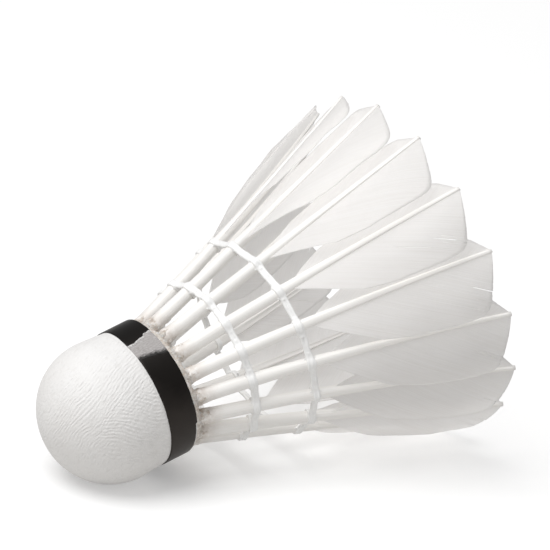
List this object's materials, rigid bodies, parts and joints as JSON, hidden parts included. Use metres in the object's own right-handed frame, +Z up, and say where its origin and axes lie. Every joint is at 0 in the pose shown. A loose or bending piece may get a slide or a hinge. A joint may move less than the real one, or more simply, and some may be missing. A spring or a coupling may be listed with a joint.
{
  "type": "badminton shuttlecock",
  "caption": "Feather shuttlecock: leather-covered cork head with a dark tape band and a flared skirt of overlapping stitched feathers.",
  "frame": {"origin": "on the ground plane, below the centre of the bounding box of the shuttle as it lies on its side", "axes": "+Z up; the shuttle's axis lies in the XZ plane and rises 17.0 degrees from the nose (-X) to the feather tips (+X)"},
  "size_m": [0.0892, 0.0686, 0.0659],
  "materials": {
    "cork": "fine-grained natural cork",
    "leather": "white kid leather with fine creases",
    "band_tape": "satin black tape",
    "band_backing": "bare grey tape backing, torn edges",
    "glue": "dried translucent glue",
    "thread": "white thread set in resin",
    "quill": "ivory keratin with a soft sheen",
    "vane": "white feather barbs, satin"
  },
  "bodies": {
    "root": {"cork_nose": "cork", "cork_disc": "cork", "leather_cover": "leather", "head_band": "band_tape", "band_lap": "band_backing", "glue_ring": "glue", "thread_lower": "thread", "thread_upper": "thread", "quill_01": "quill", "vane_01": "vane", "quill_02": "quill", "vane_02": "vane", "quill_03": "quill", "vane_03": "vane", "quill_04": "quill", "vane_04": "vane", "quill_05": "quill", "vane_05": "vane", "quill_06": "quill", "vane_06": "vane", "quill_07": "quill", "vane_07": "vane", "quill_08": "quill", "vane_08": "vane", "quill_09": "quill", "vane_09": "vane", "quill_10": "quill", "vane_10": "vane", "quill_11": "quill", "vane_11": "vane", "quill_12": "quill", "vane_12": "vane", "quill_13": "quill", "vane_13": "vane", "quill_14": "quill", "vane_14": "vane", "quill_15": "quill", "vane_15": "vane", "quill_16": "quill", "vane_16": "vane"}
  },
  "joints": []
}
